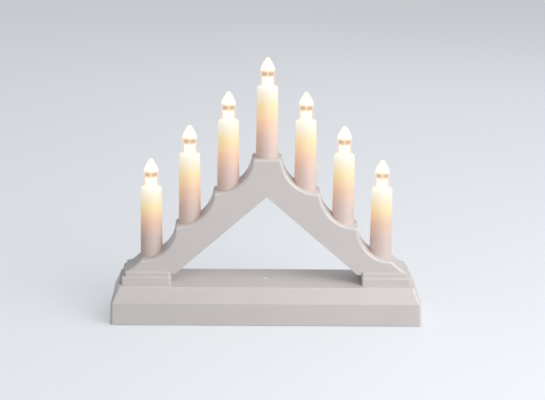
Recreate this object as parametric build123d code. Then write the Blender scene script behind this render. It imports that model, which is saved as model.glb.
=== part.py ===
from build123d import *
import math
import os

# Candle arch: seven lit candles on a stair-shaped arch over a moulded plinth.
# Millimetres. +X is the width, the front faces -Y, +Z is up, the floor is Z = 0.
# The arch, the plinth and what they hold are worked out from the candles' stair.

os.makedirs("parts", exist_ok=True)

# Candles and the stair of platforms that they stand on
side_candles = 3
candle_pitch = 27.2
candle_step = 24.2
corner_reach = 10.4
scallop_sag = 7.5
tube_visible = 50.5
tube_base_dia = 15.8
tube_top_dia = 14.6
tube_wall = 1.3
tube_roof = 1.6
tube_shoulder = 1.7
tube_gap = 0.1
seat_depth = 6.0
seat_thickness = 1.6
socket_wall = 1.1
lead_hole_dia = 8.0

# Flame cap, its diode and the diode's holder
flame_dia = 10.2
flame_straight = 11.6
flame_height = 20.0
flame_tip_dia = 3.4
flame_tip_drop = 1.3
flame_belly = 0.3
flame_bore_dia = 7.8
flame_bore_depth = 11.6
flame_bore_cone = 3.4
flame_bore_tip_dia = 2.6
spigot_dia = 8.6
spigot_bore_dia = 6.4
spigot_gap = 0.1
led_dia = 5.0
led_flange_dia = 5.8
led_flange_height = 1.0
led_dome_length = 8.6
led_leg_width = 0.5
led_leg_spread = 2.54
led_leg_length = 12.0
holder_height = 5.0
holder_gap = 0.1
holder_bore_dia = 4.2

# Arch
arch_depth = 22.0
arch_wall = 1.8
crown_height = 26.6
foot_inner_reach = 17.1
foot_height = 8.1
toe_corner_reach = 7.4
toe_reach = 10.3
toe_sag = 0.5
toe_round = 5.0
corner_round = 2.4
front_round = 2.0
back_round = 1.2
foot_front_gap = 1.0
lip_reach = 3.0
lip_drop = 1.6
lip_gap = 0.15
cover_thickness = 2.0
cover_gap = 0.15
cover_screw_drop = 9.8
crown_screw_rise = 9.6
boss_dia = 6.0

# Pedestals of the plinth, two steps under each foot
lower_step_height = 5.8
upper_step_height = 3.2
step_margin = 2.2
toe_margin = 1.0
arch_side_margin = 5.0
pedestal_wall = 1.6
pedestal_round = 1.5
step_edge_round = 1.0

# Plinth
top_end_margin = 2.1
top_side_margin = 4.6
bevel_inset_x = 4.8
bevel_inset_y = 4.6
bevel_height = 10.8
band_height = 15.2
band_draft = 0.6
foot_proud = 0.8
plinth_wall = 2.0
plinth_round = 2.2
plinth_edge_round = 0.9
gate_dia = 4.6
gate_depth = 0.3
gate_nub_dia = 1.2

# Spigots of the arch and the plates that clamp them under the plinth's top
foot_spigot_depth = 15.0
foot_spigot_wall = 1.3
foot_spigot_floor = 2.4
foot_spigot_gap = 0.2
clamp_length = 18.0
clamp_width = 39.0
clamp_thickness = 2.0
clamp_gap = 0.3
clamp_screw_spread = 8.8
clamp_boss_dia = 5.0
clamp_boss_height = 4.0
wire_hole_dia = 3.6
wire_hole_offset = 6.4
wire_notch_width = 2.9
wire_notch_depth = 4.0

# Base plate and rubber feet
plate_recess = 0.8
plate_thickness = 1.8
plate_gap = 0.3
cup_dia = 9.0
cup_wall = 1.0
base_screw_inset_x = 7.0
base_screw_board_gap = 0.3
base_screw_y = 18.0
rubber_foot_dia = 9.0
rubber_foot_sink = 0.6
rubber_foot_inset_x = 12.0
rubber_foot_inset_y = 8.0

# Battery well, its cells and contacts
cell_dia = 14.2
cell_length = 50.5
cell_nub_dia = 5.4
cell_nub_length = 1.3
cell_edge_round = 0.6
cell_gap = 1.2
cell_door_gap = 0.4
cell_roof_gap = 0.3
well_side_gap = 0.6
well_wall = 1.5
contact_thickness = 0.4
contact_width = 9.0
contact_height = 10.0
contact_gap = 0.05
leaf_space = 4.6
leaf_width = 4.0
tab_width = 3.0
tab_reach = 3.6
tab_drop = 1.6

# Battery door, its pin and latch
door_thickness = 1.6
door_gap = 0.3
door_pin_dia = 1.5
door_barrel_dia = 3.2
door_pin_setback = 3.7
door_swing_gap = 0.4
door_run_gap = 0.05
hood_wall = 1.2
latch_reach = 5.0
latch_width = 9.0
latch_height = 4.2
latch_tab = 1.2
latch_barb = 0.5
latch_gap = 0.35
finger_notch_dia = 12.0
finger_notch_depth = 0.9

# Board, switch and the recess for its knob
board_length = 17.0
board_width = 21.0
board_thickness = 1.2
board_well_gap = 5.65
board_rear_gap = 0.4
board_post_dia = 5.0
board_post_inset = 3.2
chip_length = 5.0
chip_width = 4.0
chip_height = 1.6
chip_leg_reach = 1.0
chip_leg_width = 0.4
chip_leg_thickness = 0.2
chip_legs_a_side = 4
chip_leg_pitch = 1.27
crystal_dia = 2.0
crystal_length = 5.0
resistor_dia = 1.6
resistor_length = 4.0
resistor_round = 0.5
resistor_spread = 2.6
switch_length = 11.0
switch_depth = 5.0
switch_height = 4.0
switch_wall = 0.4
switch_travel = 4.0
switch_neck_width = 2.6
switch_neck_height = 2.0
slider_length = 3.4
slider_gap = 0.05
knob_width = 5.4
knob_height = 5.0
knob_thickness = 1.0
knob_sink = 0.2
knob_floor_gap = 0.15
knob_rib_width = 0.5
knob_rib_depth = 0.25
knob_ribs = 5
slot_gap = 0.3
recess_margin = 1.6
recess_pad_wall = 2.0
recess_round = 1.5

# Screws
cover_screw_dia = 2.3
cover_screw_length = 9.0
clamp_screw_dia = 2.2
clamp_screw_length = 5.5
base_screw_dia = 2.9
base_screw_length = 8.0
board_screw_dia = 2.0
board_screw_length = 6.0
head_dia_share = 2.0
head_height_share = 0.62
drive_width_share = 0.2
drive_length_share = 1.3
drive_depth_share = 0.45
screw_point_share = 0.8
screw_clearance = 0.15
head_clearance = 0.3

# Wiring
trunk_dia = 1.8
branch_dia = 1.4
sleeve_dia = 3.4
sleeve_length = 7.0
trunk_rise = 3.0
trunk_bend = 4.0
trunk_round = 2.0
harness_drop = 5.8
harness_reach = 11.6
battery_wire_dia = 1.0
battery_wire_bend = 1.5
battery_wire_pitch = 1.4
cut_run = 2.0

# Levels, from the floor up
rim_z = foot_proud
band_top_z = rim_z + band_height
plinth_top_z = band_top_z + bevel_height
lower_step_z = plinth_top_z + lower_step_height
pedestal_z = lower_step_z + upper_step_height
low_platform_z = pedestal_z + foot_height
top_z = low_platform_z + side_candles * candle_step
apex_z = top_z - crown_height
ceiling_z = plinth_top_z - plinth_wall
plate_z = rim_z + plate_recess
plate_top_z = plate_z + plate_thickness
door_top_z = plate_z + door_thickness
door_axis_z = plate_z + door_barrel_dia / 2
cell_z = door_top_z + cell_door_gap + cell_dia / 2
well_roof_z = cell_z + cell_dia / 2 + cell_roof_gap
switch_z = rim_z + band_height / 2
board_top_z = switch_z - switch_height / 2

# Places across and along
arch_front_y = -arch_depth / 2
arch_back_y = arch_depth / 2
cover_front_y = arch_back_y - cover_thickness
outer_candle_x = side_candles * candle_pitch
outer_corner_x = outer_candle_x + toe_corner_reach
opening_half_width = outer_candle_x - foot_inner_reach
toe_x = outer_corner_x + toe_reach
lip_z = pedestal_z - lip_drop
arm_slope = (apex_z - lip_z) / opening_half_width
arm_lean = math.cos(math.atan(arm_slope))
pedestal_inner_x = opening_half_width + lip_reach
upper_step_x = toe_x + toe_margin
lower_step_x = upper_step_x + step_margin
top_half_x = lower_step_x + top_end_margin
band_half_x = top_half_x + bevel_inset_x
rim_half_x = band_half_x + band_draft
upper_step_y = arch_depth / 2 + arch_side_margin
foot_front_y = foot_front_gap - upper_step_y
lower_step_y = upper_step_y + step_margin
top_half_y = lower_step_y + top_side_margin
band_half_y = top_half_y + bevel_inset_y
rim_half_y = band_half_y + band_draft
plate_half_x = band_half_x - plinth_wall - plate_gap
plate_half_y = band_half_y - plinth_wall - plate_gap
spigot_in_x = pedestal_inner_x + pedestal_wall + foot_spigot_gap
spigot_half_x = outer_candle_x - spigot_in_x
spigot_floor_z = ceiling_z + clamp_gap
socket_radius = tube_base_dia / 2 + tube_gap + socket_wall
cell_y = (cell_dia + cell_gap) / 2
well_half_y = cell_y + cell_dia / 2 + well_side_gap
well_half_x = (cell_length + leaf_space) / 2 + contact_thickness
door_axis_x = -well_half_x - door_pin_setback
door_end_x = well_half_x + latch_reach
door_half_y = well_half_y - door_gap
board_start_x = well_half_x + well_wall + board_well_gap
board_end_x = board_start_x + board_length
board_mid_x = (board_start_x + board_end_x) / 2
base_screw_mid_x = board_end_x + base_screw_board_gap + boss_dia / 2
band_lean = band_draft / band_height
switch_wall_y = rim_half_y - band_lean * (switch_z - rim_z)
knob_y = switch_wall_y - knob_sink
recess_y = knob_y - knob_thickness - knob_floor_gap
board_back_y = recess_y - recess_pad_wall - board_rear_gap
recess_half_x = (switch_travel + knob_width) / 2 + recess_margin
recess_half_z = knob_height / 2 + recess_margin
sides = (-1, 1)
candle_numbers = range(-side_candles, side_candles + 1)


def node_number(place):
    """Candles are numbered from 1 at the left."""
    return place + side_candles + 1


def candle_x(place):
    return place * candle_pitch


def platform_z(place):
    return top_z - abs(place) * candle_step


def opening_z(x):
    """Height of the opening's sloped edge."""
    return apex_z - arm_slope * abs(x)


def box_between(low, high):
    """A box from its lowest corner to its highest."""
    size = [b - a for a, b in zip(low, high)]
    middle = [(a + b) / 2 for a, b in zip(low, high)]
    return Pos(*middle) * Box(*size)


def upright(dia, low_z, high_z, x=0, y=0):
    """A cylinder along Z."""
    height = high_z - low_z
    return Pos(x, y, low_z + height / 2) * Cylinder(dia / 2, height)


def along_y(dia, low_y, high_y, x=0, z=0):
    """A cylinder along Y."""
    length = high_y - low_y
    return Pos(x, low_y + length / 2, z) * Rot(90, 0, 0) * Cylinder(dia / 2, length)


def slab(face, low_y, high_y):
    """A face drawn in X and Z, thickened between two depths."""
    return Pos(0, high_y, 0) * extrude(Plane.XZ * face, amount=high_y - low_y)


def mirrored(solid):
    """A solid on the right with its copy on the left."""
    return solid + mirror(solid, about=Plane.YZ)


def write_node(name, shape):
    solids = shape.solids()
    shape = solids[0] if len(solids) == 1 else Compound(children=list(solids))
    export_step(shape, f"parts/{name}.step")


def turned_profile(points):
    """A solid turned about Z from its outline in radius and height."""
    return revolve(Plane.XZ * make_face(Polyline(*points, close=True)), Axis.Z)


def pan_screw(dia, length):
    """A cross-slotted pan-head screw, its head on Z = 0 and its shank below."""
    head_dia = dia * head_dia_share
    head_height = dia * head_height_share
    point = dia * screw_point_share
    slot = (dia * drive_length_share, dia * drive_width_share, dia * drive_depth_share)
    head = fillet(upright(head_dia, 0, head_height).edges().group_by(Axis.Z)[-1], head_height / 2)
    shank = upright(dia, point - length, 0)
    tip = turned_profile([(0, -length), (dia / 2, point - length), (0, point - length)])
    drive_z = head_height - slot[2] / 2
    drive = Pos(0, 0, drive_z) * (Box(*slot) + Rot(0, 0, 90) * Box(*slot))
    return head + shank + tip - drive


def screw_head_height(dia):
    return dia * head_height_share


def screw_head_hole(dia):
    return dia * head_dia_share + 2 * head_clearance


def screw_hole(dia):
    return dia + 2 * screw_clearance


def corner_point(step):
    """A platform's outer corner, counted down from the middle platform."""
    return Vector(corner_reach + step * candle_pitch, top_z - step * candle_step)


def stair_points():
    """The corners that the scallops and the toe run between, on the right."""
    corners = [corner_point(step) for step in range(side_candles)]
    return corners + [Vector(outer_corner_x, low_platform_z), Vector(toe_x, pedestal_z)]


def hollow_disc(start, end, sag, inset):
    """The disc whose edge is the hollow curve from start to end, widened by inset."""
    chord = end - start
    radius = (chord.length ** 2 / 4 + sag ** 2) / (2 * sag)
    outward = Vector(-chord.Y, chord.X).normalized()
    centre = (start + end) * 0.5 + outward * (radius - sag)
    return centre, radius + inset


def arch_face(inset):
    """The arch's front outline, drawn in by inset all round."""
    points = stair_points()
    foot_z = pedestal_z + inset
    rise = inset / arm_lean
    last, toe = points[-2], points[-1]
    toe_share = (last.Y - foot_z) / (last.Y - toe.Y)
    toe_end = last + (toe - last) * toe_share
    inner_foot_x = (apex_z + rise - foot_z) / arm_slope
    half = [(points[0].X, top_z - inset)] + [(p.X, p.Y) for p in points[1:-1]]
    half += [(toe_end.X, toe_end.Y), (inner_foot_x, foot_z)]
    left = [(-x, z) for x, z in reversed(half)]
    face = make_face(Polyline(*half, (0, apex_z + rise), *left, close=True))
    sags = [scallop_sag] * side_candles + [toe_sag]
    for start, end, sag in zip(points[:-1], points[1:], sags):
        centre, radius = hollow_disc(start, end, sag, inset)
        for side in sides:
            face -= Pos(side * centre.X, centre.Y) * Circle(radius)
    return face


def near_corner(vertex, point):
    away = math.hypot(abs(vertex.X) - point.X, vertex.Y - point.Y)
    return away < corner_round / 2


def arch_outline():
    """The outline with its platform corners and toe shoulders rounded."""
    face = arch_face(0)
    points = stair_points()
    corners = [v for v in face.vertices() if any(near_corner(v, p) for p in points[:-2])]
    face = fillet(corners, corner_round)
    shoulders = [v for v in face.vertices() if near_corner(v, points[-2])]
    return fillet(shoulders, toe_round)


def arch_front_at(z):
    """The front face leans back from the feet to the crown."""
    return foot_front_y + (arch_front_y - foot_front_y) * (z - pedestal_z) / (top_z - pedestal_z)


def behind_front(inset, back_y):
    """The space from the leaning front face, drawn in by inset, to a depth."""
    low_z, high_z = lip_z - cut_run, top_z + cut_run
    points = [(arch_front_at(low_z) + inset, low_z), (back_y, low_z), (back_y, high_z),
              (arch_front_at(high_z) + inset, high_z)]
    return extrude(Plane.YZ * make_face(Polyline(*points, close=True)), toe_x + cut_run, both=True)


def crest_edges(face):
    """The edges of a face along the platforms, the scallops and the toes."""
    curved = [edge for edge in face.edges() if edge.geom_type != GeomType.LINE]
    straight = face.edges().filter_by(GeomType.LINE)
    return curved + [straight.sort_by(Axis.Z)[-1]]


def arch_lip():
    """The hook at each foot's inner end that laps over the pedestal's edge."""
    inner_foot_x = (apex_z - pedestal_z) / arm_slope
    outer_x = pedestal_inner_x - lip_gap
    high_z = pedestal_z + arch_wall
    points = [(inner_foot_x, pedestal_z), (opening_half_width, lip_z), (outer_x, lip_z),
              (outer_x, high_z), (inner_foot_x, high_z)]
    lip = mirrored(slab(make_face(Polyline(*points, close=True)), foot_front_y - cut_run, arch_back_y))
    return lip & behind_front(0, arch_back_y)


def foot_spigots():
    """The hollow spigots below the feet that reach down to the clamp plates."""
    half_y = foot_spigot_depth / 2
    low_x, high_x = outer_candle_x - spigot_half_x, outer_candle_x + spigot_half_x
    floor_z = spigot_floor_z + foot_spigot_floor
    wall = foot_spigot_wall
    outer = box_between((low_x, -half_y, spigot_floor_z), (high_x, half_y, pedestal_z + arch_wall))
    inner = box_between((low_x + wall, wall - half_y, floor_z),
                        (high_x - wall, half_y - wall, pedestal_z + cut_run))
    bosses = [upright(clamp_boss_dia, spigot_floor_z, floor_z + clamp_boss_height,
                      outer_candle_x, side * clamp_screw_spread / 2) for side in sides]
    spigot = outer - inner + (bosses[0] + bosses[1]) & outer
    for side in sides:
        spigot -= upright(clamp_screw_dia, spigot_floor_z - cut_run, floor_z + clamp_boss_height + cut_run,
                          outer_candle_x, side * clamp_screw_spread / 2)
    spigot -= upright(wire_hole_dia, spigot_floor_z - cut_run, floor_z + cut_run,
                      outer_candle_x - wire_hole_offset)
    return spigot


def foot_well():
    """The opening from a foot's floor into its spigot."""
    wall = foot_spigot_wall
    half_y = foot_spigot_depth / 2 - wall
    return box_between((outer_candle_x - spigot_half_x + wall, -half_y, pedestal_z - cut_run),
                       (outer_candle_x + spigot_half_x - wall, half_y, pedestal_z + arch_wall + cut_run))


def socket(place):
    """The ring and seat that hold a tube, before they are cut to the arch's hollow."""
    low_z = platform_z(place) - seat_depth - seat_thickness
    return upright(2 * socket_radius, low_z, low_z + candle_step, candle_x(place))


def socket_bores(place):
    """The hole that a tube drops into, and the hole for its wires below the seat."""
    x, seat_z = candle_x(place), platform_z(place) - seat_depth
    bore = upright(tube_base_dia + 2 * tube_gap, seat_z, platform_z(place) + candle_step, x)
    return bore + upright(lead_hole_dia, seat_z - seat_thickness - cut_run, seat_z + cut_run, x)


def wire_notch():
    """The way for the wires past the outer seat, at its inner side."""
    low_x = outer_candle_x - spigot_half_x + foot_spigot_wall
    low_z = platform_z(side_candles) - seat_depth - seat_thickness - cut_run
    high_z = low_z + cut_run + seat_thickness + wire_notch_depth
    half_y = wire_notch_width / 2
    return box_between((low_x, -half_y, low_z), (low_x + wire_notch_width, half_y, high_z))


def cover_screw_places():
    """The rear cover's screws: one in the crown, two in each arm."""
    places = [(0, apex_z + crown_screw_rise)]
    for step in range(1, side_candles):
        x = (candle_x(step) + candle_x(step + 1)) / 2
        z = (platform_z(step) + platform_z(step + 1)) / 2 - cover_screw_drop
        places += [(side * x, z) for side in sides]
    return places


def cover_cup_depth():
    return cover_thickness + cup_wall


def cup_outer_dia(dia):
    return screw_head_hole(dia) + 2 * cup_wall


def arch_shell():
    """The hollow arch, open at the back, with sockets, screw bosses and spigots."""
    outer = slab(arch_outline(), foot_front_y - cut_run, arch_back_y) & behind_front(0, arch_back_y)
    outer = fillet(crest_edges(outer.faces().sort_by(Axis.Y)[-1]), back_round)
    outer = fillet(crest_edges(outer.faces().sort_by(Axis.Y)[0]), front_round)
    hollow = slab(arch_face(arch_wall), foot_front_y, arch_back_y + cut_run)
    hollow &= behind_front(arch_wall, arch_back_y + cut_run)
    room = hollow & behind_front(0, cover_front_y - cover_gap)
    shell = outer - hollow + arch_lip()
    for place in candle_numbers:
        shell += socket(place) & room
    for x, z in cover_screw_places():
        front_y = arch_front_at(z) + arch_wall / 2
        shell += along_y(boss_dia, front_y, arch_back_y - cover_cup_depth(), x, z)
    shell -= mirrored(foot_well() - socket(side_candles))
    shell += mirrored(foot_spigots())
    for place in candle_numbers:
        shell -= socket_bores(place)
    shell -= mirrored(wire_notch())
    for x, z in cover_screw_places():
        pilot_y = arch_back_y - screw_head_height(cover_screw_dia) - cup_wall - cover_screw_length
        shell -= along_y(cover_screw_dia, pilot_y, arch_back_y, x, z)
    return shell


def arch_back_cover():
    """The cover in the arch's open back, with a cup round each screw."""
    cover = slab(arch_face(arch_wall + cover_gap), cover_front_y, arch_back_y)
    head_dia = screw_head_hole(cover_screw_dia)
    outer_dia, inner_y = cup_outer_dia(cover_screw_dia), arch_back_y - cover_cup_depth()
    for x, z in cover_screw_places():
        cover += along_y(outer_dia, inner_y, cover_front_y, x, z)
    for x, z in cover_screw_places():
        cover -= along_y(head_dia, cover_front_y, arch_back_y + cut_run, x, z)
        cover -= along_y(screw_hole(cover_screw_dia), arch_front_y, arch_back_y, x, z)
    return cover


def arch_cover_screws():
    screw = Rot(-90, 0, 0) * pan_screw(cover_screw_dia, cover_screw_length)
    return [Pos(x, cover_front_y, z) * screw for x, z in cover_screw_places()]


def candle_tube(place):
    """A tapered tube with a rounded shoulder and a hole in its roof."""
    seat_z = -seat_depth
    base, top = tube_base_dia / 2, tube_top_dia / 2
    outer = [(0, seat_z), (base, seat_z), (base, 0), (top, tube_visible), (0, tube_visible)]
    inner = [(0, seat_z - cut_run), (base - tube_wall, seat_z - cut_run), (base - tube_wall, 0),
             (top - tube_wall, tube_visible - tube_roof), (0, tube_visible - tube_roof)]
    body = turned_profile(outer)
    body = fillet(body.edges().group_by(Axis.Z)[-1], tube_shoulder)
    body -= turned_profile(inner)
    body -= upright(spigot_dia + 2 * spigot_gap, tube_visible - 2 * tube_roof, tube_visible + cut_run)
    return Pos(candle_x(place), 0, platform_z(place)) * body


def candle_top(place):
    return Pos(candle_x(place), 0, platform_z(place) + tube_visible)


def flame_cap(place):
    """A clear flame: a straight part, a drawn-in point and a hollow for the diode."""
    radius, tip = flame_dia / 2, flame_tip_dia / 2
    shoulder = (radius, flame_straight)
    tip_start = (tip, flame_height - flame_tip_drop)
    tip_radius = (tip ** 2 + flame_tip_drop ** 2) / (2 * flame_tip_drop)
    tip_chord = math.hypot(tip, flame_tip_drop)
    tip_sag = tip_radius - math.sqrt(tip_radius ** 2 - tip_chord ** 2 / 4)
    outline = [Line((0, 0), (radius, 0)), Line((radius, 0), shoulder),
               SagittaArc(shoulder, tip_start, -flame_belly),
               SagittaArc(tip_start, (0, flame_height), -tip_sag),
               Line((0, flame_height), (0, 0))]
    body = revolve(Plane.XZ * make_face(outline), Axis.Z)
    body += upright(spigot_dia, -tube_roof, 0)
    bore = flame_bore_dia / 2
    bore_top = flame_bore_depth + flame_bore_cone
    hollow = [(0, 0), (bore, 0), (bore, flame_bore_depth), (flame_bore_tip_dia / 2, bore_top), (0, bore_top)]
    body -= turned_profile(hollow)
    body -= upright(spigot_bore_dia, -tube_roof - cut_run, cut_run)
    return candle_top(place) * body


def holder_dia():
    """The holder fills the tube just below its roof."""
    return tube_top_dia - 2 * tube_wall - 2 * holder_gap


def led_holder(place):
    high_z = -tube_roof
    body = upright(holder_dia(), high_z - holder_height, high_z)
    body -= upright(led_flange_dia + 2 * spigot_gap, high_z - led_flange_height, high_z + cut_run)
    body -= upright(holder_bore_dia, high_z - holder_height - cut_run, high_z)
    return candle_top(place) * body


def led(place):
    """A diode: its flange in the holder and its dome up in the flame cap."""
    low_z = -tube_roof - led_flange_height
    flange = upright(led_flange_dia, low_z, low_z + led_flange_height)
    high_z = low_z + led_dome_length
    stem = upright(led_dia, low_z, high_z - led_dia / 2)
    dome = Pos(0, 0, high_z - led_dia / 2) * Sphere(led_dia / 2)
    return candle_top(place) * (flange + stem + dome)


def led_leads():
    """Two square legs below each diode, down to its solder sleeve."""
    legs = []
    low_z = -tube_roof - led_flange_height
    for place in candle_numbers:
        for side in sides:
            x = side * led_leg_spread / 2
            half = led_leg_width / 2
            leg = box_between((x - half, -half, low_z - led_leg_length), (x + half, half, low_z))
            legs.append(candle_top(place) * leg)
    return legs


def sleeve_top_z(place):
    return platform_z(place) + tube_visible - tube_roof - led_flange_height - led_leg_length


def tube_run(points, dia, bend):
    """A round wire along straight runs with a bend at each corner."""
    path = FilletPolyline(*points, radius=bend) if len(points) > 2 else Line(*points)
    start = Vector(*points[0])
    heading = Vector(*points[1]) - start
    return sweep(Plane(origin=start, z_dir=heading) * Circle(dia / 2), path=path)


def board_run(side):
    """The wires from the board to the hole under a foot; the left ones pass over the well."""
    hole_x = outer_candle_x - wire_hole_offset
    low_z = ceiling_z - clamp_thickness - harness_drop
    x, y = chip_place()
    if side > 0:
        end_x, end_y = board_end_x - trunk_dia, y
        run = [(end_x, end_y, board_top_z), (end_x, end_y, low_z - trunk_bend)]
        return run + [(end_x + 2 * trunk_bend, end_y / 2, low_z), (hole_x, 0, low_z)]
    front_y = board_back_y - board_width + trunk_dia / 2
    over_z = (well_roof_z + well_wall + ceiling_z) / 2
    run = [(x, front_y, board_top_z), (x, front_y, low_z - trunk_bend / 2), (board_start_x, 0, over_z)]
    return run + [(-board_start_x, 0, over_z), (harness_reach - hole_x, 0, low_z), (-hole_x, 0, low_z)]


def arch_wiring(side, places):
    """One arm's wires: from the board, up the foot, along above the opening and up each tube."""
    rise = (arch_wall + trunk_rise) / arm_lean
    hole_x = outer_candle_x - wire_hole_offset
    low_x = outer_candle_x - spigot_half_x + foot_spigot_wall + wire_notch_width / 2
    floor_z = spigot_floor_z + foot_spigot_floor
    turn_z = pedestal_z + arch_wall + trunk_rise
    arm_x = (apex_z + rise - turn_z) / arm_slope
    last_x = min(crown_wire_x() if p == 0 else abs(candle_x(p)) for p in places)
    trunk = [(hole_x, floor_z), (low_x, pedestal_z - trunk_bend / 2), (low_x, turn_z),
             (arm_x - trunk_bend, turn_z + trunk_bend * arm_slope)]
    trunk.append((last_x, apex_z + rise - arm_slope * last_x))
    route = board_run(side) + [(side * x, 0, z) for x, z in trunk]
    wires = tube_run(route, trunk_dia, trunk_round)
    low_z = pedestal_z - trunk_bend / 2
    for place in places:
        x, top = candle_x(place), sleeve_top_z(place)
        wires += upright(sleeve_dia, top - sleeve_length, top, x)
        end = (x, 0, top - sleeve_length / 2)
        if place == 0:
            points = [(last_x, 0, apex_z + rise - arm_slope * last_x), (last_x, 0, crown_boss_top_z()),
                      (x, 0, platform_z(place) - seat_depth), end]
        elif abs(place) == side_candles:
            points = [(side * low_x, 0, low_z), (x, 0, low_z + trunk_dia), end]
        else:
            points = [(x, 0, opening_z(x) + rise), end]
        wires += tube_run(points, branch_dia, trunk_round)
    return wires


def crown_wire_x():
    """The middle tube's wires pass beside the crown's screw boss."""
    return boss_dia / 2 + branch_dia


def crown_boss_top_z():
    return apex_z + crown_screw_rise + boss_dia / 2


def tapered_block(low, high):
    """A rounded block that narrows upwards; each end is half length, half depth, corner and height."""
    faces = [Pos(0, 0, z) * RectangleRounded(2 * x, 2 * y, r) for x, y, r, z in (low, high)]
    return loft(faces, ruled=True)


def plinth_block(inset):
    """The plinth's upright band and sloped band, drawn in by inset."""
    corner = max(plinth_round - inset, plinth_edge_round / 2)
    rim = (rim_half_x - inset, rim_half_y - inset, corner, rim_z)
    band = (band_half_x - inset, band_half_y - inset, corner, band_top_z)
    slope_share = (bevel_height - inset) / bevel_height
    top_x = band_half_x - inset - bevel_inset_x * slope_share
    top_y = band_half_y - inset - bevel_inset_y * slope_share
    top = (top_x, top_y, corner, plinth_top_z - inset)
    return tapered_block(rim, band), tapered_block(band, top)


def step_block(outer_x, half_y, low_z, high_z, inset):
    """One step of a pedestal on the right, drawn in by inset at its sides and top."""
    low = (pedestal_inner_x + inset, inset - half_y, low_z)
    high = (outer_x - inset, half_y - inset, high_z - inset)
    block = box_between(low, high)
    if inset:
        return block
    block = fillet(block.edges().filter_by(Axis.Z), pedestal_round)
    return fillet(block.edges().group_by(Axis.Z)[-1], step_edge_round)


def base_screw_places():
    """Four screws beside the well and one at each end."""
    end_x = plate_half_x - base_screw_inset_x
    corners = [(sx * base_screw_mid_x, sy * base_screw_y) for sx in sides for sy in sides]
    return corners + [(side * end_x, 0) for side in sides]


def cup_top_z():
    """Top of the cups round the base screws, where the plinth's posts stand."""
    return plate_z + screw_head_height(base_screw_dia) + head_clearance + cup_wall


def board_screw_places():
    y = board_back_y - board_width + board_post_inset
    return [(board_start_x + board_post_inset, y), (board_end_x - board_post_inset, y)]


def gate_mark():
    """The shallow dish in the middle of the plinth's top with its moulding nub."""
    dish = upright(gate_dia, plinth_top_z - gate_depth, plinth_top_z + cut_run)
    return dish - upright(gate_nub_dia, plinth_top_z - gate_depth, plinth_top_z - gate_depth / 2)


def knob_recess():
    """The recess in the rear wall and the slot that the switch works through."""
    pocket = box_between((-recess_half_x, recess_y, switch_z - recess_half_z),
                         (recess_half_x, rim_half_y + cut_run, switch_z + recess_half_z))
    pocket = fillet(pocket.edges().filter_by(Axis.Y), recess_round)
    slot_half_x = (switch_travel + switch_neck_width) / 2 + slot_gap
    slot_half_z = switch_neck_height / 2 + slot_gap
    slot = box_between((-slot_half_x, recess_y - 2 * recess_pad_wall, switch_z - slot_half_z),
                       (slot_half_x, recess_y + cut_run, switch_z + slot_half_z))
    return Pos(board_mid_x, 0, 0) * (pocket + slot)


def recess_pad():
    """The wall behind the recess, thickened inwards."""
    wall = recess_pad_wall
    low = (board_mid_x - recess_half_x - wall, recess_y - wall, plate_top_z + plate_gap)
    high = (board_mid_x + recess_half_x + wall, rim_half_y - wall / 2, switch_z + recess_half_z + wall)
    return box_between(low, high)


def plinth_shell():
    """The plinth with its pedestals, open beneath, with posts for its screws."""
    band, slope = plinth_block(0)
    outer = band + slope
    level = (plinth_top_z - gate_depth, plinth_top_z + gate_depth)
    outer = fillet(outer.edges().filter_by_position(Axis.Z, *level), plinth_edge_round)
    skin = outer
    root_z = plinth_top_z - plinth_wall / 2
    outer += mirrored(step_block(lower_step_x, lower_step_y, root_z, lower_step_z, 0))
    outer += mirrored(step_block(upper_step_x, upper_step_y, root_z, pedestal_z, 0))
    band_hollow, slope_hollow = plinth_block(plinth_wall)
    mouth = box_between((-rim_half_x + plinth_wall, -rim_half_y + plinth_wall, rim_z - cut_run),
                        (rim_half_x - plinth_wall, rim_half_y - plinth_wall, rim_z))
    hollow = band_hollow + slope_hollow + mouth
    shell = outer - hollow
    room_z = ceiling_z - cut_run
    shell -= mirrored(step_block(lower_step_x, lower_step_y, room_z, lower_step_z, pedestal_wall))
    shell -= mirrored(step_block(upper_step_x, upper_step_y, room_z, pedestal_z, pedestal_wall))
    posts = recess_pad()
    for x, y in base_screw_places():
        posts += upright(boss_dia, cup_top_z(), ceiling_z + plinth_wall / 2, x, y)
    for x, y in board_screw_places():
        posts += upright(board_post_dia, board_top_z, ceiling_z + plinth_wall / 2, x, y)
    shell += posts & skin
    for x, y in base_screw_places():
        shell -= upright(base_screw_dia, cup_top_z() - cut_run, cup_top_z() + base_screw_length, x, y)
    for x, y in board_screw_places():
        shell -= upright(board_screw_dia, board_top_z - cut_run, board_top_z + board_screw_length, x, y)
    gap = foot_spigot_gap
    half_y = foot_spigot_depth / 2 + gap
    low_x, high_x = outer_candle_x - spigot_half_x - gap, outer_candle_x + spigot_half_x + gap
    shell -= mirrored(box_between((low_x, -half_y, lower_step_z), (high_x, half_y, pedestal_z + cut_run)))
    return shell - gate_mark() - knob_recess()


def arch_clamp(side):
    """The plate that bears on the plinth's ceiling and draws a spigot down to it."""
    x = side * outer_candle_x
    plate = Pos(x, 0, ceiling_z - clamp_thickness / 2) * Box(clamp_length, clamp_width, clamp_thickness)
    plate = fillet(plate.edges().filter_by(Axis.Z), pedestal_round)
    low_z, high_z = ceiling_z - clamp_thickness - cut_run, ceiling_z + cut_run
    for end in sides:
        plate -= upright(screw_hole(clamp_screw_dia), low_z, high_z, x, end * clamp_screw_spread / 2)
    return plate - upright(wire_hole_dia, low_z, high_z, side * (outer_candle_x - wire_hole_offset))


def clamp_screws():
    screw = Rot(180, 0, 0) * pan_screw(clamp_screw_dia, clamp_screw_length)
    z = ceiling_z - clamp_thickness
    places = [(side * outer_candle_x, end * clamp_screw_spread / 2) for side in sides for end in sides]
    return [Pos(x, y, z) * screw for x, y in places]


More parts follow.
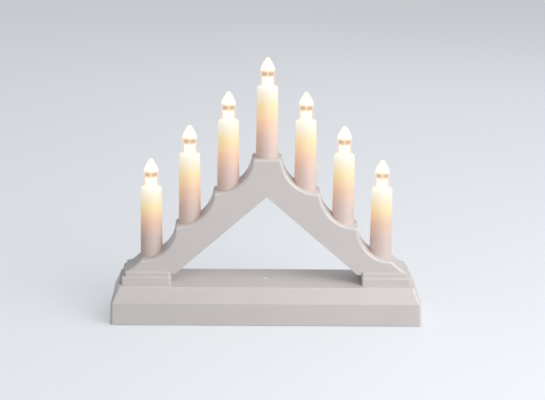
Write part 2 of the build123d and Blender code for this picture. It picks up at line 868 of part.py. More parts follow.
def rubber_foot_places():
    x = plate_half_x - rubber_foot_inset_x
    y = plate_half_y - rubber_foot_inset_y
    return [(sx * x, sy * y) for sx in sides for sy in sides]


def hinge_hood(grow):
    """The space round the door's hinge, grown by a wall where it is the hood itself."""
    radius = door_barrel_dia / 2 + door_swing_gap
    low = (door_axis_x - radius - grow, -well_half_y - grow, door_axis_z)
    high = (-well_half_x - well_wall + grow, well_half_y + grow, door_axis_z + radius + grow)
    return box_between(low, high)


def base_plate():
    """The bottom cover: battery well, hinge hood, screw cups and door opening."""
    corner = plinth_round
    plate = Pos(0, 0, plate_z + plate_thickness / 2) * extrude(
        RectangleRounded(2 * plate_half_x, 2 * plate_half_y, corner), plate_thickness / 2, both=True)
    well_x, well_y = well_half_x + well_wall, well_half_y + well_wall
    plate += box_between((-well_x, -well_y, plate_top_z), (well_x, well_y, well_roof_z + well_wall))
    plate += hinge_hood(hood_wall)
    for x, y in base_screw_places():
        plate += upright(cup_dia, plate_z, cup_top_z(), x, y)
    plate -= box_between((-well_half_x, -well_half_y, plate_z), (well_half_x, well_half_y, well_roof_z))
    pin_end = well_half_y + well_wall
    swing = door_barrel_dia / 2 + door_swing_gap
    plate -= box_between((door_axis_x - swing, -well_half_y, plate_z - cut_run),
                         (door_end_x + latch_gap, well_half_y, plate_top_z))
    plate -= hinge_hood(0)
    plate -= along_y(door_pin_dia, -pin_end, pin_end, door_axis_x, door_axis_z)
    notch_z = plate_z + finger_notch_depth
    plate -= upright(finger_notch_dia, plate_z - cut_run, notch_z, door_end_x + latch_gap)
    for x, y in base_screw_places():
        head_top_z = plate_z + screw_head_height(base_screw_dia) + head_clearance
        plate -= upright(screw_head_hole(base_screw_dia), plate_z - cut_run, head_top_z, x, y)
        plate -= upright(screw_hole(base_screw_dia), plate_z, cup_top_z() + cut_run, x, y)
    for x, y in rubber_foot_places():
        plate -= upright(rubber_foot_dia, plate_z - cut_run, plate_z + rubber_foot_sink, x, y)
    half_slot = tab_width / 2 + contact_gap
    for x, y in tab_slots():
        plate -= box_between((x - well_wall - cut_run, y - half_slot, tab_z() - tab_drop / 2),
                             (x + cut_run, y + half_slot, tab_z() + tab_drop / 2))
    return plate


def rubber_feet():
    feet = []
    for x, y in rubber_foot_places():
        foot = upright(rubber_foot_dia, 0, plate_z + rubber_foot_sink)
        feet.append(Pos(x, y, 0) * fillet(foot.edges().group_by(Axis.Z)[0], foot_proud / 2))
    return feet


def base_screws():
    screw = Rot(180, 0, 0) * pan_screw(base_screw_dia, base_screw_length)
    z = plate_z + screw_head_height(base_screw_dia) + head_clearance
    return [Pos(x, y, z) * screw for x, y in base_screw_places()]


def battery_door():
    """The door: a flat panel, a hinge barrel at one end and a latch tab at the other."""
    panel = box_between((door_axis_x, -door_half_y, plate_z), (door_end_x, door_half_y, door_top_z))
    barrel = along_y(door_barrel_dia, -door_half_y, door_half_y, door_axis_x, door_axis_z)
    tab_x = door_end_x - latch_barb - latch_tab
    half = latch_width / 2
    tab = box_between((tab_x, -half, door_top_z), (tab_x + latch_tab, half, door_top_z + latch_height))
    barb_z = plate_top_z + latch_gap
    barb_x = tab_x + latch_tab
    barb_points = [(barb_x, barb_z), (door_end_x, barb_z), (barb_x, barb_z + latch_tab)]
    barb = slab(make_face(Polyline(*barb_points, close=True)), -half, half)
    door = panel + barrel + tab + barb
    bore_dia = door_pin_dia + 2 * door_run_gap
    return door - along_y(bore_dia, -well_half_y, well_half_y, door_axis_x, door_axis_z)


def door_pin():
    pin_end = well_half_y + well_wall
    return along_y(door_pin_dia, -pin_end, pin_end, door_axis_x, door_axis_z)


def battery(row):
    """One cell; row 1 points its nub to +X and row -1 to -X."""
    can_length = cell_length - cell_nub_length
    can = upright(cell_dia, 0, can_length)
    can = fillet(can.edges(), cell_edge_round)
    nub = upright(cell_nub_dia, can_length, cell_length)
    start_x = well_half_x - contact_thickness - contact_gap - cell_length
    cell = Pos(start_x, -cell_y, cell_z) * Rot(0, 90, 0) * (can + nub)
    return cell if row > 0 else Rot(0, 0, 180) * cell


def contact_plate(y):
    """A flat contact on the well's end wall at +X."""
    high_x = well_half_x
    half_z = contact_height / 2
    return box_between((high_x - contact_thickness, y - contact_width / 2, cell_z - half_z),
                       (high_x, y + contact_width / 2, cell_z + half_z))


def leaf_spring(y):
    """The bowed leaf that presses on a cell's flat end, on a plate at +X."""
    wall_x = well_half_x - contact_thickness
    tip_x = wall_x - leaf_space + 2 * contact_gap
    half_z = contact_height / 2
    outer = [(wall_x, cell_z - half_z), (tip_x, cell_z), (wall_x, cell_z + half_z)]
    inner = [(wall_x, cell_z + half_z - 2 * contact_thickness), (tip_x + contact_thickness, cell_z),
             (wall_x, cell_z - half_z + 2 * contact_thickness)]
    face = make_face(Polyline(*outer, *inner, close=True))
    return slab(face, y - leaf_width / 2, y + leaf_width / 2)


def tab_z():
    """Height of the solder tabs, above the cells' nubs."""
    return cell_z + contact_height / 2 - tab_drop / 2


def tab_slots():
    """The slots in the well's end wall that the solder tabs pass."""
    return [(well_half_x + well_wall, side * cell_y) for side in sides]


def solder_tab(y):
    half_z = contact_thickness / 2
    return box_between((well_half_x - contact_thickness, y - tab_width / 2, tab_z() - half_z),
                       (well_half_x + tab_reach, y + tab_width / 2, tab_z() + half_z))


def positive_contact():
    return contact_plate(-cell_y) + solder_tab(-cell_y)


def negative_contact():
    return contact_plate(cell_y) + leaf_spring(cell_y) + solder_tab(cell_y)


def bridge_contact():
    """The one contact at -X that joins the two cells."""
    half_z = contact_height / 2
    half_y = cell_y + contact_width / 2
    plate = box_between((well_half_x - contact_thickness, -half_y, cell_z - half_z),
                        (well_half_x, half_y, cell_z + half_z))
    return Rot(0, 0, 180) * (plate + leaf_spring(cell_y))


def circuit_board():
    low_z = board_top_z - board_thickness
    board = box_between((board_start_x, board_back_y - board_width, low_z),
                        (board_end_x, board_back_y, board_top_z))
    for x, y in board_screw_places():
        board -= upright(screw_hole(board_screw_dia), low_z - cut_run, board_top_z + cut_run, x, y)
    return board


def board_screws():
    screw = Rot(180, 0, 0) * pan_screw(board_screw_dia, board_screw_length)
    return [Pos(x, y, board_top_z - board_thickness) * screw for x, y in board_screw_places()]


def chip_place():
    """Middle of the chip on the board."""
    return board_mid_x, board_back_y - switch_depth - chip_width - chip_leg_reach


def timer_chip():
    x, y = chip_place()
    low_z = board_top_z + chip_leg_thickness
    body = box_between((x - chip_length / 2, y - chip_width / 2, low_z),
                       (x + chip_length / 2, y + chip_width / 2, low_z + chip_height))
    for leg in range(chip_legs_a_side):
        leg_x = x + (leg - (chip_legs_a_side - 1) / 2) * chip_leg_pitch
        half = chip_leg_width / 2
        reach = chip_width / 2 + chip_leg_reach
        foot_z = board_top_z + chip_leg_thickness
        body += box_between((leg_x - half, y - reach, board_top_z), (leg_x + half, y + reach, foot_z))
    return body


def timer_crystal():
    """The crystal's can, lying on the board beside the chip."""
    x, y = chip_place()
    middle_y = y + (crystal_length - chip_width) / 2
    place = (x + chip_length / 2 + crystal_dia, middle_y, board_top_z + crystal_dia / 2)
    return Pos(*place) * Rot(90, 0, 0) * Cylinder(crystal_dia / 2, crystal_length)


def resistors():
    """Two resistors, lying on the board in front of the chip."""
    parts = []
    x, y = chip_place()
    y -= chip_width / 2 + chip_leg_reach + (resistor_length + resistor_dia) / 2
    for side in sides:
        place = (x + side * resistor_spread / 2, y, board_top_z + resistor_dia / 2)
        body = Rot(90, 0, 0) * Cylinder(resistor_dia / 2, resistor_length)
        body = fillet(body.edges(), resistor_round)
        parts.append(Pos(*place) * body)
    return parts


def switch_housing():
    """The switch's can on the board, open at the back for the carriage's neck."""
    half_x, half_z, wall = switch_length / 2, switch_height / 2, switch_wall
    back_y = board_back_y
    front_y = back_y - switch_depth
    can = box_between((-half_x, front_y, switch_z - half_z), (half_x, back_y, switch_z + half_z))
    can -= box_between((wall - half_x, front_y + wall, switch_z - half_z + wall),
                       (half_x - wall, back_y - wall, switch_z + half_z - wall))
    slot_half_x = (switch_travel + switch_neck_width) / 2 + slot_gap
    slot_half_z = switch_neck_height / 2 + slider_gap
    can -= box_between((-slot_half_x, back_y - 2 * wall, switch_z - slot_half_z),
                       (slot_half_x, back_y + cut_run, switch_z + slot_half_z))
    return Pos(board_mid_x, 0, 0) * can


def switch_slider():
    """The carriage in the can and its neck out to the knob, at the on end of its travel."""
    gap, wall = slider_gap, switch_wall
    x = board_mid_x - switch_travel / 2
    half_x, half_z = slider_length / 2, switch_height / 2 - wall - gap
    back_y = board_back_y - wall - gap
    carriage = box_between((x - half_x, board_back_y - switch_depth + wall + gap, switch_z - half_z),
                           (x + half_x, back_y, switch_z + half_z))
    neck_x, neck_z = switch_neck_width / 2, switch_neck_height / 2
    neck = box_between((x - neck_x, back_y - gap, switch_z - neck_z),
                       (x + neck_x, knob_y - knob_thickness / 2, switch_z + neck_z))
    return carriage + neck


def switch_knob():
    """The ribbed knob pressed on the neck, just below the plinth's rear face."""
    x = board_mid_x - switch_travel / 2
    half_x, half_z = knob_width / 2, knob_height / 2
    knob = box_between((x - half_x, knob_y - knob_thickness, switch_z - half_z),
                       (x + half_x, knob_y, switch_z + half_z))
    knob = fillet(knob.edges().filter_by(Axis.Y), knob_rib_width)
    for rib in range(knob_ribs - 1):
        rib_x = x + (rib - (knob_ribs - 2) / 2) * 2 * knob_rib_width
        half = knob_rib_width / 2
        knob -= box_between((rib_x - half, knob_y - knob_rib_depth, switch_z - half_z),
                            (rib_x + half, knob_y + cut_run, switch_z + half_z))
    neck_x, neck_z = switch_neck_width / 2, switch_neck_height / 2
    return knob - box_between((x - neck_x, knob_y - knob_thickness, switch_z - neck_z),
                              (x + neck_x, knob_y - knob_thickness / 2, switch_z + neck_z))


def battery_wires():
    """The wires from the two solder tabs, side by side, down to the board's near end."""
    wires = []
    bend = battery_wire_bend
    for row, side in enumerate(reversed(sides)):
        start_x, start_y = well_half_x + tab_reach, side * cell_y
        run_x = start_x + bend + contact_gap + row * battery_wire_pitch
        end_y = board_back_y - board_width / 2 + side * 2 * battery_wire_dia
        end_x = board_start_x + 2 * battery_wire_dia
        points = [(start_x, start_y, tab_z()), (run_x, start_y, tab_z()), (run_x, end_y, tab_z()),
                  (end_x, end_y, (tab_z() + board_top_z) / 2), (end_x, end_y, board_top_z)]
        wires.append(tube_run(points, battery_wire_dia, bend))
    return wires


write_node("plinth_shell", plinth_shell())
write_node("arch_shell", arch_shell())
write_node("arch_back_cover", arch_back_cover())
write_node("arch_cover_screws", Compound(children=arch_cover_screws()))
write_node("arch_clamp_left", arch_clamp(-1))
write_node("arch_clamp_right", arch_clamp(1))
write_node("clamp_screws", Compound(children=clamp_screws()))
write_node("base_plate", base_plate())
write_node("base_screws", Compound(children=base_screws()))
write_node("rubber_feet", Compound(children=rubber_feet()))
write_node("battery_door", battery_door())
write_node("door_pin", door_pin())
write_node("battery_1", battery(1))
write_node("battery_2", battery(-1))
write_node("bridge_contact", bridge_contact())
write_node("positive_contact", positive_contact())
write_node("negative_contact", negative_contact())
write_node("battery_wires", Compound(children=battery_wires()))
write_node("circuit_board", circuit_board())
write_node("board_screws", Compound(children=board_screws()))
write_node("timer_chip", timer_chip())
write_node("timer_crystal", timer_crystal())
write_node("resistors", Compound(children=resistors()))
write_node("switch_housing", switch_housing())
write_node("switch_slider", switch_slider())
write_node("switch_knob", switch_knob())
write_node("arch_wiring_left", arch_wiring(-1, range(-side_candles, 0)))
write_node("arch_wiring_right", arch_wiring(1, range(side_candles, -1, -1)))
write_node("led_leads", Compound(children=led_leads()))
for place in candle_numbers:
    number = node_number(place)
    write_node(f"candle_tube_{number}", candle_tube(place))
    write_node(f"flame_cap_{number}", flame_cap(place))
    write_node(f"led_holder_{number}", led_holder(place))
    write_node(f"led_{number}", led(place))
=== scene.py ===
import math

import bpy
from mathutils import Matrix, Vector


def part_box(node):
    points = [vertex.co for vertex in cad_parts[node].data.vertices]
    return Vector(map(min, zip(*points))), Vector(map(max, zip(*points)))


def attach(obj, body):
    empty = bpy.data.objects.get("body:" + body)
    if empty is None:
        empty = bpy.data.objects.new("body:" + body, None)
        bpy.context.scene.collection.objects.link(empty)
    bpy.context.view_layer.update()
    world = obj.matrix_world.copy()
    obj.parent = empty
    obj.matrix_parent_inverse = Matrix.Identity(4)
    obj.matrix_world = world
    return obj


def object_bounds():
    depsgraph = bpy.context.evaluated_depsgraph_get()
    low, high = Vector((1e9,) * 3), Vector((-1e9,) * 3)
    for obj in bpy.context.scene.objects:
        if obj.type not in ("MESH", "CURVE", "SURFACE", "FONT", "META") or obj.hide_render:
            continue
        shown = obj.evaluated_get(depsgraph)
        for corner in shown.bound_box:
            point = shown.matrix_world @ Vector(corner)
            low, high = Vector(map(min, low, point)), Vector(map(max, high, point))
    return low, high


bl_info = {
    "name": "Candle Arch Finishes",
    "version": (1, 0, 0),
    "blender": (4, 5, 0),
    "location": "View3D > Sidebar > Candle Arch",
    "description": "Plastics, lit flames, moulded details and a plain studio for a battery-lit candle arch",
    "category": "Object",
}

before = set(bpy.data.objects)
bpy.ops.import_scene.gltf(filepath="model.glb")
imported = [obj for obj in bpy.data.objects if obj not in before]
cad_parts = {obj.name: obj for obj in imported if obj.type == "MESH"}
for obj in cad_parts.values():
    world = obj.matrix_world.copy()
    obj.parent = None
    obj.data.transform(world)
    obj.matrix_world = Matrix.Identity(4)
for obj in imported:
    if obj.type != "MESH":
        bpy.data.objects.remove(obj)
cad_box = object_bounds()

CANDLES = range(1, 8)
MIDDLE_CANDLE = 4
SIDES = (-1, 1)
SMOOTH_ANGLE = math.radians(35)

# Turns of a flat mark that make it face the back or the floor
FACE_BACK = (-math.pi / 2, 0.0, 0.0)
FACE_DOWN = (math.pi, 0.0, 0.0)

# Moulded plastic: features per metre, depths in metres, and shares in the tone, the roughness and the bump
PLASTIC_IOR = 1.49
CLOUDS = 38.0
CLOUD_SHARE = 0.7
FLOW_LINES = 130.0
FLOW_STRETCH = (0.3, 1.0, 2.4)
TONE_EDGES = (0.32, 0.68)
DARK_TONE = 0.965
TONE_ROUGHNESS = 0.06
GRAIN_ROUGHNESS = 0.05
GRAIN_SHARE = 0.75
GRAIN_BUMP = 0.5
FINE_GRAIN = 2600.0
FINE_DEPTH = 0.00002
MATT_GRAIN = 1500.0
MATT_DEPTH = 0.00005
RUBBER_GRAIN = 900.0
RUBBER_DEPTH = 0.00015

# The gate mark in the middle of the plinth's top: how pale its blush is, and where that ends, in metres
GATE_BLUSH = 0.8
GATE_COLOUR = (0.95, 0.93, 0.92)
GATE_RADII = (0.0006, 0.0030)
GATE_LEVELS = (0.0240, 0.0255)

# Plated metal: fine scratches and a dull bloom
ZINC = (0.62, 0.63, 0.64)
NICKEL = (0.70, 0.68, 0.63)
SCRATCHES = 3200.0
SCRATCH_STRETCH = (1.0, 9.0, 1.0)
SCRATCH_ROUGHNESS = 0.1
SCRATCH_BUMP = 0.35
SCRATCH_DEPTH = 0.00001
BLOOMS = 420.0
BLOOM_EDGES = (0.35, 0.7)
BLOOM_TONE = 0.86
BLOOM_ROUGHNESS = 0.12
POLISH = 0.08

# The small parts: colours, the cells' band and metal ends in metres from the middle, the resistors' bands,
# and how dark the knob and the inner parts are beside the base
BLACK_PLASTIC = (0.02, 0.02, 0.022)
CHIP_PLASTIC = (0.025, 0.025, 0.027)
FOOT_RUBBER = (0.035, 0.035, 0.036)
WIRE_JACKET = (0.74, 0.73, 0.70)
SOLDER_RESIST = (0.03, 0.16, 0.06)
RESISTOR_TAN = (0.42, 0.29, 0.15)
RESISTOR_BAND = (0.30, 0.05, 0.02)
RESISTOR_BANDS = 330.0
RESISTOR_BAND_EDGES = (0.8, 0.9)
CELL_SLEEVE = (0.06, 0.075, 0.095)
CELL_BAND = (0.52, 0.53, 0.54)
CELL_BAND_EDGES = (0.0140, 0.0142)
CELL_METAL = (0.66, 0.66, 0.65)
CELL_METAL_RADII = (0.0064, 0.0066)
CELL_SCUFFS = 500.0
CELL_ROUGHNESS = (0.26, 0.38)
KNOB_SHADE = 0.9
INNER_SHADE = 0.95

# The tubes: how far each lamp's painted glow reaches down, from the middle candle outwards, and by share
# of the height above the arch the walls' base colours, which darken towards the top under the painted glow,
# and the painted glow's colours, where the last number is how much the glow follows the reach
LAMP_REACH = (1.2, 1.0, 0.85, 0.6)
TUBE_SEAT = 0.006
COOL_WALL_TOP = 0.30
COOL_WALL_TONE = 0.94
WALLS_UNDER_GLOW = [
    (0.50, (0.45, 0.40, 0.36)), (0.60, (0.43, 0.385, 0.33)), (0.72, (0.40, 0.365, 0.29)),
    (0.90, (0.30, 0.28, 0.25)), (1.0, (0.28, 0.27, 0.24))]
TUBE_GLOW = [
    (0.0, (0.05, 0.02, 0.008), 1), (0.10, (0.08, 0.028, 0.01), 1), (0.30, (0.20, 0.08, 0.038), 1),
    (0.50, (0.50, 0.26, 0.13), 1 / 2), (0.60, (0.60, 0.36, 0.17), 1 / 3), (0.72, (0.62, 0.46, 0.20), 0),
    (0.90, (0.72, 0.65, 0.52), 0), (1.0, (0.84, 0.79, 0.68), 0)]
GLOW_WAVER = 0.04
TUBE_SHEEN = (1.0, 0.93, 0.80)
TUBE_CLOUDS = 160.0
TUBE_GRAIN = 1800.0
TUBE_GRAIN_BUMP = 0.4
TUBE_ROUGHNESS = (0.34, 0.42)

# A flame cap, in metres from its axis or above its tube: its hollow, the lit space round the diode and its
# lit point, then its base colour and the colours and alpha of the glow painted into its emission
HOLLOW_RADII = (0.0041, 0.0043)
HOLLOW_TOP = (0.0148, 0.0152)
HOT_TOP = (0.0060, 0.0078)
BRIGHT_FOOT = (0.0092, 0.0124)
CAP_COLOUR = (0.20, 0.16, 0.11)
CORE_DIM = (0.19, 0.14, 0.075)
CORE_LIT = (1.25, 1.2, 1.08)
CAP_WALL_GLOW = [(0.0, (0.78, 0.50, 0.36)), (0.5, (0.86, 0.66, 0.46)), (1.0, (1.0, 0.93, 0.80))]
HOLLOW_ALPHA = (0.68, 0.95)
WALL_ALPHA = (0.36, 0.92)
DIODE_SCUFFS = 900.0
DIODE_ROUGHNESS = (0.1, 0.15)

# The light guide in each cap: its foot and tip above the tube, its waist's radius and how much its tip
# widens again
GUIDE_FOOT = 0.0063
GUIDE_TIP = 0.0146
GUIDE_WAIST = 0.0006
GUIDE_WIDENING = 1.9
GUIDE_EDGE = 0.0002
GUIDE_COLOUR = (1.0, 0.88, 0.72)
# The guide's glow is painted into its emission, cloudy between a dim and a bright warm white
GUIDE_DIM = (1.0, 0.90, 0.70)
GUIDE_BRIGHT = (1.0, 0.96, 0.84)
GUIDE_CLOUDS = 700.0
MERGE_REACH = 0.00001

# Moulded details, in metres; a slimness is the width as a share of the length
SWITCH_TRAVEL = 0.004
MARK_REACH = 0.0088
MARK_OUT = 0.0002
MARK_HEIGHT = 0.00025
MARK_EDGE = 0.0001
RING_LINE = 0.0006
BAR_LENGTH = 0.0032
BAR_SLIMNESS = 0.2
SIGN_REACH = 0.005
SIGN_HEIGHT = 0.0003
RIBS = 5
RIB_SETBACK = 0.0035
RIB_SLIMNESS = 0.065
RIB_PITCH = 0.0018
RIB_EDGE = 0.0003
ARROW_SETBACK = 0.0165
ARROW_RADIUS = 0.0034
ARROW_LINE = 0.0009
ARROW_HEIGHT = 0.0003
ARROW_EDGE = 0.00012
PIN_RIM = 0.0003
PIN_DISH = 0.00012
PIN_HEIGHT = 0.00015
PIN_EDGE = 0.00005
PIN_PLACES = [(sx * x, sy * y) for sx in SIDES for sy in SIDES for x, y in ((0.078, 0.006), (0.072, 0.0195))]

# The studio, in metres: the floor, the air's tone, and each light's azimuth from the front towards the right,
# elevation, distance, size and colour
FLOOR_WIDTH = 6.0
FLOOR_FRONT = -2.6
FLOOR_BACK = 1.6
FLOOR_CLOUDS = 3.0
FLOOR_CLOUD_EDGES = (0.3, 0.7)
FLOOR_DARK_TONE = 0.985
BLACK = (0.0, 0.0, 0.0)
AIR_TONE = (0.285, 0.295, 0.31)
VIEW_TONE = (0.66, 0.69, 0.72)
LIGHTS = {
    "key": (40.0, 35.0, 1.1, 0.9, (1.0, 0.985, 0.965)),
    "fill": (-52.0, 18.0, 1.2, 1.0, (0.97, 0.985, 1.0)),
    "edge": (82.0, 30.0, 1.0, 0.4, (1.0, 0.99, 0.97)),
    "back": (158.0, 40.0, 1.1, 0.9, (1.0, 0.99, 0.98)),
}

# The photograph's camera, solved from the plinth's corners, the stair of candles and the opening
PHOTO_WIDTH_PX = 545
FOCAL_PX = 1779
SENSOR_WIDTH_MM = 36.0
CAMERA_PLACE = Vector((-0.01394, -1.21896, 0.40408))
CAMERA_PITCH = math.radians(14.68)
CAMERA_YAW = math.radians(0.85)
CAMERA_ROLL = math.radians(0.55)


# Shader sums


class Wire:
    """A shader socket that takes part in Python sums; each sum adds its Math node."""

    def __init__(self, graph, socket):
        self.graph = graph
        self.socket = socket

    def maths(self, operation, *values, **settings):
        """A Math node on these values."""
        settings["operation"] = operation
        return self.graph.node("ShaderNodeMath", settings, dict(enumerate(values)))

    def __add__(self, other):
        return self.maths("ADD", self, other)

    __radd__ = __add__

    def __sub__(self, other):
        return self.maths("SUBTRACT", self, other)

    def __rsub__(self, other):
        return self.maths("SUBTRACT", other, self)

    def __mul__(self, other):
        return self.maths("MULTIPLY", self, other)

    __rmul__ = __mul__

    def __truediv__(self, other):
        return self.maths("DIVIDE", self, other)

    def __pow__(self, other):
        return self.maths("POWER", self, other)

    def held(self):
        """Held between 0 and 1."""
        return self.maths("ADD", self, 0.0, use_clamp=True)

    def between(self, low, high):
        """Low where this is 0 and high where it is 1."""
        return low + (high - low) * self

    def rise(self, low, high):
        """0 below low, 1 above high, and smooth between."""
        return self.graph.node("ShaderNodeMapRange", {"interpolation_type": "SMOOTHSTEP"},
                               {"Value": self, "From Min": low, "From Max": high})


class Graph:
    """A new material with one Principled shader, or a world, built up from named inputs and sums."""

    def __init__(self, name, kind="materials", shader="Principled BSDF", **constants):
        self.material = getattr(bpy.data, kind).new(name)
        self.material.use_nodes = True
        self.tree = self.material.node_tree
        self.shader = self.tree.nodes[shader]
        self.set(**constants)

    def feed(self, node, inputs):
        """Links or sets a node's inputs."""
        for key, value in inputs.items():
            if isinstance(value, Wire):
                self.tree.links.new(value.socket, node.inputs[key])
            elif node.inputs[key].type == "RGBA" and len(value) == 3:
                node.inputs[key].default_value = (*value, 1.0)
            else:
                node.inputs[key].default_value = value

    def node(self, kind, settings=None, inputs=None, output=0):
        """Adds a node, sets it, feeds it and gives one output, or a list of them."""
        node = self.tree.nodes.new(kind)
        settings = dict(settings or {})
        stops = settings.pop("stops", ())
        for _ in stops[2:]:
            node.color_ramp.elements.new(1.0)
        for number, (place, colour) in enumerate(stops):
            node.color_ramp.elements[number].position = place
            node.color_ramp.elements[number].color = (*colour, 1.0)
        for key, value in settings.items():
            setattr(node, key, value)
        self.feed(node, inputs or {})
        if isinstance(output, tuple):
            return [Wire(self, node.outputs[key]) for key in output]
        return Wire(self, node.outputs[output])

    def set(self, **inputs):
        """Links or sets inputs of the shader, with _ for a space in their names."""
        self.feed(self.shader, {key.replace("_", " "): value for key, value in inputs.items()})

    def place(self, centre=(0, 0, 0), scale=(1, 1, 1)):
        """Object coordinates, measured from a centre in metres."""
        coords = self.node("ShaderNodeTexCoord", output=3)
        moved = [-c * s for c, s in zip(centre, scale)]
        return self.node("ShaderNodeMapping", None, {"Vector": coords, "Location": moved, "Scale": scale})

    def axes(self, vector):
        """A vector's three parts."""
        return self.node("ShaderNodeSeparateXYZ", None, {"Vector": vector}, output=("X", "Y", "Z"))

    def noise(self, vector, per_metre, detail=2.0):
        """Soft noise with so many features per metre."""
        return self.node("ShaderNodeTexNoise", None, {"Vector": vector, "Scale": per_metre, "Detail": detail})

    def ramp(self, factor, stops):
        """A colour that changes with factor; stops are (place, colour)."""
        return self.node("ShaderNodeValToRGB", {"stops": stops}, {"Fac": factor}, output="Color")

    def blend(self, factor, low, high):
        """The colour low where factor is 0, and high where it is 1."""
        return self.node("ShaderNodeMix", {"data_type": "RGBA"}, {0: factor, 6: low, 7: high}, output=2)

    def bump(self, height, strength, depth):
        """A Bump node on the shader's Normal; depth is in metres."""
        inputs = {"Strength": strength, "Distance": depth, "Height": height}
        self.feed(self.shader, {"Normal": self.node("ShaderNodeBump", None, inputs)})


# Finishes


def shade(colour, factor):
    """A colour with each part multiplied by a factor."""
    return tuple(c * factor for c in colour)


def moulded_plastic(name, colour, roughness=0.3, grain=FINE_GRAIN, grain_depth=FINE_DEPTH, blush=0.0):
    """A moulded surface: cloudy tone and gloss, the mould's fine grain, and a pale blush round the gate."""
    graph = Graph(name, IOR=PLASTIC_IOR)
    place = graph.place()
    cloud = graph.noise(place, CLOUDS, detail=3.0)
    flow = graph.noise(graph.place(scale=FLOW_STRETCH), FLOW_LINES)
    tone = (CLOUD_SHARE * cloud + (1 - CLOUD_SHARE) * flow).rise(*TONE_EDGES)
    pores = graph.noise(place, grain, detail=1.0)
    surface = graph.blend(tone, shade(colour, DARK_TONE), colour)
    if blush:
        x, y, z = graph.axes(place)
        near_gate = (1.0 - ((x * x + y * y) ** 0.5).rise(*GATE_RADII)) * z.rise(*GATE_LEVELS)
        surface = graph.blend(blush * near_gate, surface, GATE_COLOUR)
    gloss = roughness - TONE_ROUGHNESS / 2 + TONE_ROUGHNESS * tone + GRAIN_ROUGHNESS * pores
    graph.set(Base_Color=surface, Roughness=gloss)
    graph.bump(GRAIN_SHARE * pores + (1 - GRAIN_SHARE) * flow, GRAIN_BUMP, grain_depth)
    return graph.material


def satin_plastic(context, name, blush=0.0):
    """The arch's and the plinth's white."""
    settings = owner(context).shells
    colour = tuple(settings.shell_colour)
    return moulded_plastic(f"satin_{name}", colour, settings.shell_roughness, blush=blush)


def matt_plastic(context, name):
    """The base plate's and the battery door's white, with a coarser grain."""
    colour = tuple(owner(context).shells.base_colour)
    return moulded_plastic(f"matt_{name}", colour, roughness=0.5, grain=MATT_GRAIN, grain_depth=MATT_DEPTH)


def plated_steel(name, colour, roughness=0.32):
    """Plated metal with fine scratches and a dull bloom."""
    graph = Graph(name, Metallic=1.0)
    scratch = graph.noise(graph.place(scale=SCRATCH_STRETCH), SCRATCHES, detail=3.0)
    bloom = graph.noise(graph.place(), BLOOMS).rise(*BLOOM_EDGES)
    graph.set(Base_Color=graph.blend(bloom, shade(colour, BLOOM_TONE), colour),
              Roughness=roughness - POLISH + BLOOM_ROUGHNESS * bloom + SCRATCH_ROUGHNESS * scratch)
    graph.bump(scratch, SCRATCH_BUMP, SCRATCH_DEPTH)
    return graph.material


# Modelling


def begin(name, add, **place):
    """Adds a primitive at its size and place, with nothing else selected, and names it."""
    bpy.ops.object.select_all(action="DESELECT")
    add(**place)
    piece = bpy.context.object
    piece.name = piece.data.name = name
    return piece


def pick(piece, wanted=lambda centre: True):
    """Opens a piece with the faces picked whose centres a test wants, or with all of them."""
    bpy.ops.object.mode_set(mode="EDIT")
    bpy.ops.mesh.select_mode(type="FACE")
    bpy.ops.mesh.select_all(action="DESELECT")
    bpy.ops.object.mode_set(mode="OBJECT")
    for face in piece.data.polygons:
        face.select = wanted(face.center)
    bpy.ops.object.mode_set(mode="EDIT")


def extrude_up(rise):
    """Draws the picked faces out upwards."""
    bpy.ops.mesh.extrude_region_move(TRANSFORM_OT_translate={"value": (0.0, 0.0, rise)})


def hollow_out(line):
    """Leaves a line of the given width along the edge of the picked face."""
    bpy.ops.mesh.inset(thickness=line)
    bpy.ops.mesh.delete(type="FACE")


def apply_modifier(piece, kind, **settings):
    """Adds a modifier of a kind, sets it and applies it."""
    modifier = piece.modifiers.new(kind.title(), kind)
    for key, value in settings.items():
        setattr(modifier, key, value)
    bpy.ops.object.modifier_apply(modifier=modifier.name)


def raise_mark(piece, height, edge):
    """Ends the shaping of a flat mark, thickens it to both sides by height and softens its edges."""
    bpy.ops.object.mode_set(mode="OBJECT")
    apply_modifier(piece, "SOLIDIFY", thickness=2 * height, offset=0.0)
    apply_modifier(piece, "BEVEL", width=edge, segments=3, limit_method="ANGLE")


def settle(piece, body, material):
    """Puts a finished piece's place in its mesh and hangs it on its body."""
    bpy.ops.object.transform_apply(location=True, rotation=True, scale=True)
    bpy.ops.object.shade_smooth_by_angle(angle=SMOOTH_ANGLE)
    piece.data.materials.append(material)
    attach(piece, body)


def copy_piece(piece, name, away, body):
    """A copy of a finished piece with its own mesh, moved away from it."""
    copy = piece.copy()
    copy.data = piece.data.copy()
    copy.name = copy.data.name = name
    copy.data.transform(Matrix.Translation(away))
    bpy.context.scene.collection.objects.link(copy)
    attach(copy, body)


def wear(material, *nodes):
    """Gives nodes a material; each has one slot."""
    for node in nodes:
        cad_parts[node].material_slots[0].material = material


def middle(node):
    """The middle of a node's box."""
    low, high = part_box(node)
    return (low + high) / 2


def owner(context):
    """The scene's settings for the arch."""
    return context.scene.candle_arch


# Settings


class ShellSettings(bpy.types.PropertyGroup):
    shell_colour: bpy.props.FloatVectorProperty(
        name="Shell colour", description="White of the arch and the plinth",
        default=(0.67, 0.625, 0.61), size=3, min=0.0, max=1.0, subtype="COLOR")
    shell_roughness: bpy.props.FloatProperty(
        name="Shell roughness", description="Satin gloss of the arch and the plinth",
        default=0.3, min=0.0, max=1.0, subtype="FACTOR")
    base_colour: bpy.props.FloatVectorProperty(
        name="Base colour", description="White of the base plate and the battery door",
        default=(0.65, 0.61, 0.595), size=3, min=0.0, max=1.0, subtype="COLOR")


